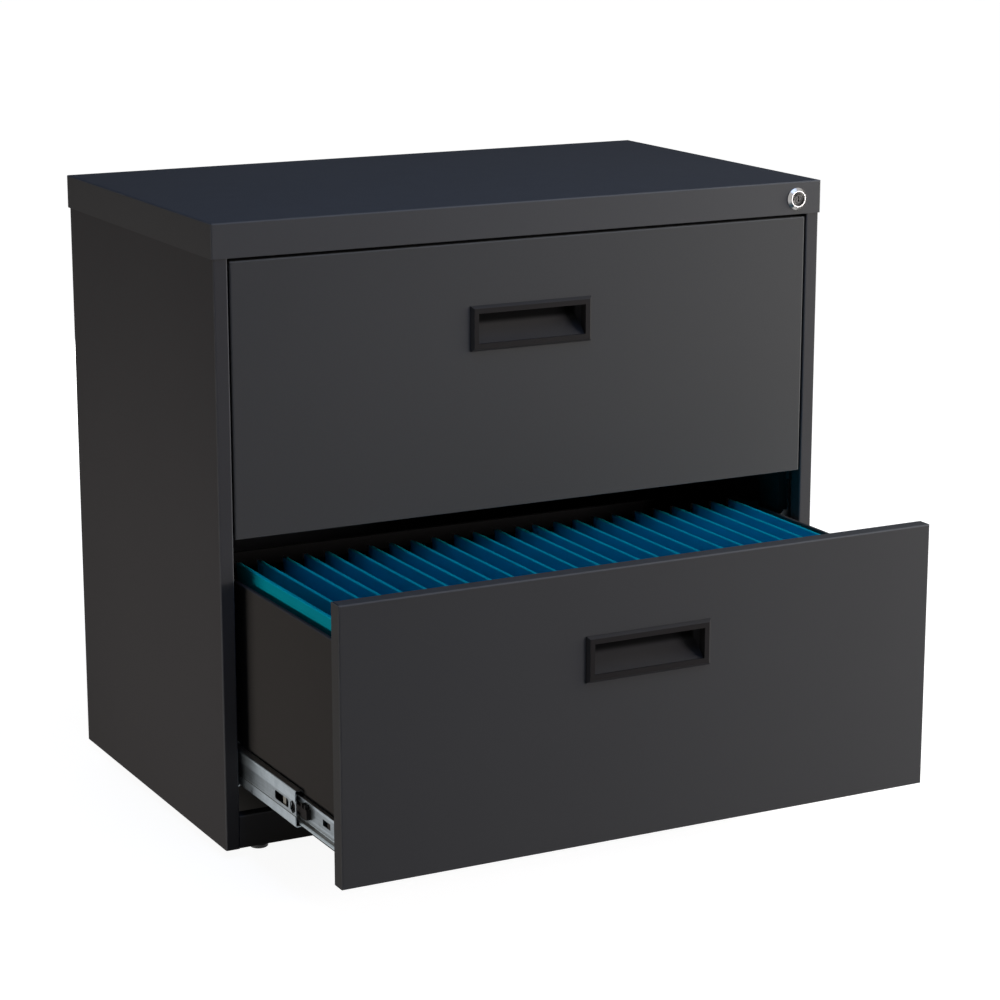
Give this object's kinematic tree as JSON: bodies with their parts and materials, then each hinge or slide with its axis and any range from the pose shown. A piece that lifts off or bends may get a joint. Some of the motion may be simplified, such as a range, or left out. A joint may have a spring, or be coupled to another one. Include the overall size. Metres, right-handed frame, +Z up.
{
  "type": "lateral filing cabinet",
  "caption": "Steel lateral filing cabinet with full-extension drawers on ball slides, recessed pulls, a top lock, levelling glides and hanging folders.",
  "frame": {"origin": "on the floor under the middle of the whole outline, with the lower drawer standing open as at rest", "axes": "+X to the right along the width, +Y from the drawer fronts to the back, +Z up"},
  "size_m": [0.762, 0.7162, 0.705],
  "materials": {
    "case_paint": "fine-textured charcoal powder coat",
    "front_paint": "fine-textured charcoal powder coat",
    "inner_paint": "satin charcoal powder coat",
    "zinc": "bright zinc plate, rolled",
    "ball_steel": "polished bearing steel",
    "cage_steel": "yellow zinc plate",
    "black_plastic": "fine spark texture",
    "glide_plastic": "moulded nylon",
    "lock_nickel": "polished nickel plate",
    "core_nickel": "dull nickel plate",
    "bar_steel": "zinc plate",
    "weight_iron": "dark primer",
    "screw_steel": "zinc plate",
    "folder_card": "dyed card stock",
    "hanger_steel": "rolled steel strip"
  },
  "bodies": {
    "cabinet": {"top_cap": "case_paint", "top_stiffener": "inner_paint", "left_side_panel": "case_paint", "right_side_panel": "case_paint", "back_panel": "case_paint", "kick_panel": "case_paint", "rear_base_rail": "inner_paint", "base_sills": "inner_paint", "left_front_post": "inner_paint", "left_rear_post": "inner_paint", "right_front_post": "inner_paint", "right_rear_post": "inner_paint", "counterweight": "weight_iron", "levelling_glides": "glide_plastic", "glide_nuts": "screw_steel", "case_screws": "screw_steel", "lock_housing": "lock_nickel", "lock_nut": "bar_steel", "lock_bar_guides": "inner_paint", "upper_left_cabinet_rail": "zinc", "upper_right_cabinet_rail": "zinc", "lower_left_cabinet_rail": "zinc", "lower_right_cabinet_rail": "zinc"},
    "lock_core": {"lock_core": "core_nickel", "lock_cam": "bar_steel"},
    "lock_bar": {"lock_bar": "bar_steel"},
    "lower_drawer": {"lower_drawer_front": "front_paint", "lower_drawer_tray": "inner_paint", "lower_left_box_side": "inner_paint", "lower_right_box_side": "inner_paint", "lower_pull": "black_plastic", "lower_striker": "bar_steel", "lower_hang_rails": "inner_paint", "lower_left_drawer_rail": "zinc", "lower_right_drawer_rail": "zinc", "hanging_folders": "folder_card", "folder_hanger_bars": "hanger_steel"},
    "lower_left_middle": {"lower_left_middle_rail": "zinc"},
    "lower_right_middle": {"lower_right_middle_rail": "zinc"},
    "lower_outer_cages": {"lower_outer_cages": "cage_steel", "lower_outer_balls": "ball_steel"},
    "lower_inner_cages": {"lower_inner_cages": "cage_steel", "lower_inner_balls": "ball_steel"},
    "lower_release_levers": {"lower_release_levers": "black_plastic"},
    "upper_drawer": {"upper_drawer_front": "front_paint", "upper_drawer_tray": "inner_paint", "upper_left_box_side": "inner_paint", "upper_right_box_side": "inner_paint", "upper_pull": "black_plastic", "upper_striker": "bar_steel", "upper_hang_rails": "inner_paint", "upper_left_drawer_rail": "zinc", "upper_right_drawer_rail": "zinc"},
    "upper_left_middle": {"upper_left_middle_rail": "zinc"},
    "upper_right_middle": {"upper_right_middle_rail": "zinc"},
    "upper_outer_cages": {"upper_outer_cages": "cage_steel", "upper_outer_balls": "ball_steel"},
    "upper_inner_cages": {"upper_inner_cages": "cage_steel", "upper_inner_balls": "ball_steel"},
    "upper_release_levers": {"upper_release_levers": "black_plastic"}
  },
  "joints": [
    {"name": "lower_drawer_slide", "type": "slide", "parent": "cabinet", "child": "lower_drawer", "axis": [0, -1, 0], "range_m": [-0.265, 0.141]},
    {"name": "lower_left_middle_slide", "type": "slide", "parent": "cabinet", "child": "lower_left_middle", "axis": [0, -1, 0], "range_m": [-0.16562, 0.08812]},
    {"name": "lower_right_middle_slide", "type": "slide", "parent": "cabinet", "child": "lower_right_middle", "axis": [0, -1, 0], "range_m": [-0.16562, 0.08812]},
    {"name": "lower_outer_cages_slide", "type": "slide", "parent": "cabinet", "child": "lower_outer_cages", "axis": [0, -1, 0], "range_m": [-0.08281, 0.04406]},
    {"name": "lower_inner_cages_slide", "type": "slide", "parent": "cabinet", "child": "lower_inner_cages", "axis": [0, -1, 0], "range_m": [-0.21531, 0.11456]},
    {"name": "lower_lever_turn", "type": "hinge", "parent": "lower_drawer", "child": "lower_release_levers", "pos_m": [0, -0.2121, 0.101], "axis": [-1, 0, 0], "range_deg": [0, 4], "stiffness_Nm_per_rad": 0.2, "springref_deg": -2.86},
    {"name": "upper_drawer_slide", "type": "slide", "parent": "cabinet", "child": "upper_drawer", "axis": [0, -1, 0], "range_m": [0, 0.406]},
    {"name": "upper_left_middle_slide", "type": "slide", "parent": "cabinet", "child": "upper_left_middle", "axis": [0, -1, 0], "range_m": [0, 0.25375]},
    {"name": "upper_right_middle_slide", "type": "slide", "parent": "cabinet", "child": "upper_right_middle", "axis": [0, -1, 0], "range_m": [0, 0.25375]},
    {"name": "upper_outer_cages_slide", "type": "slide", "parent": "cabinet", "child": "upper_outer_cages", "axis": [0, -1, 0], "range_m": [0, 0.12687]},
    {"name": "upper_inner_cages_slide", "type": "slide", "parent": "cabinet", "child": "upper_inner_cages", "axis": [0, -1, 0], "range_m": [0, 0.32987]},
    {"name": "upper_lever_turn", "type": "hinge", "parent": "upper_drawer", "child": "upper_release_levers", "pos_m": [0, 0.0529, 0.4105], "axis": [-1, 0, 0], "range_deg": [0, 4], "stiffness_Nm_per_rad": 0.2, "springref_deg": -2.86},
    {"name": "lock_turn", "type": "hinge", "parent": "cabinet", "child": "lock_core", "pos_m": [0.348, -0.0891, 0.685], "axis": [0, 1, 0], "range_deg": [0, 90]},
    {"name": "lock_bar_slide", "type": "slide", "parent": "cabinet", "child": "lock_bar", "axis": [0, 0, -1], "range_m": [0, 0.01272]}
  ],
  "couplings": [
    {"joint": "lower_left_middle_slide", "follows": "lower_drawer_slide", "ratio": 0.625},
    {"joint": "lower_right_middle_slide", "follows": "lower_drawer_slide", "ratio": 0.625},
    {"joint": "lower_outer_cages_slide", "follows": "lower_drawer_slide", "ratio": 0.3125},
    {"joint": "lower_inner_cages_slide", "follows": "lower_drawer_slide", "ratio": 0.8125},
    {"joint": "upper_left_middle_slide", "follows": "upper_drawer_slide", "ratio": 0.625},
    {"joint": "upper_right_middle_slide", "follows": "upper_drawer_slide", "ratio": 0.625},
    {"joint": "upper_outer_cages_slide", "follows": "upper_drawer_slide", "ratio": 0.3125},
    {"joint": "upper_inner_cages_slide", "follows": "upper_drawer_slide", "ratio": 0.8125},
    {"joint": "lock_bar_slide", "follows": "lock_turn", "m_per_rad": 0.0081}
  ]
}
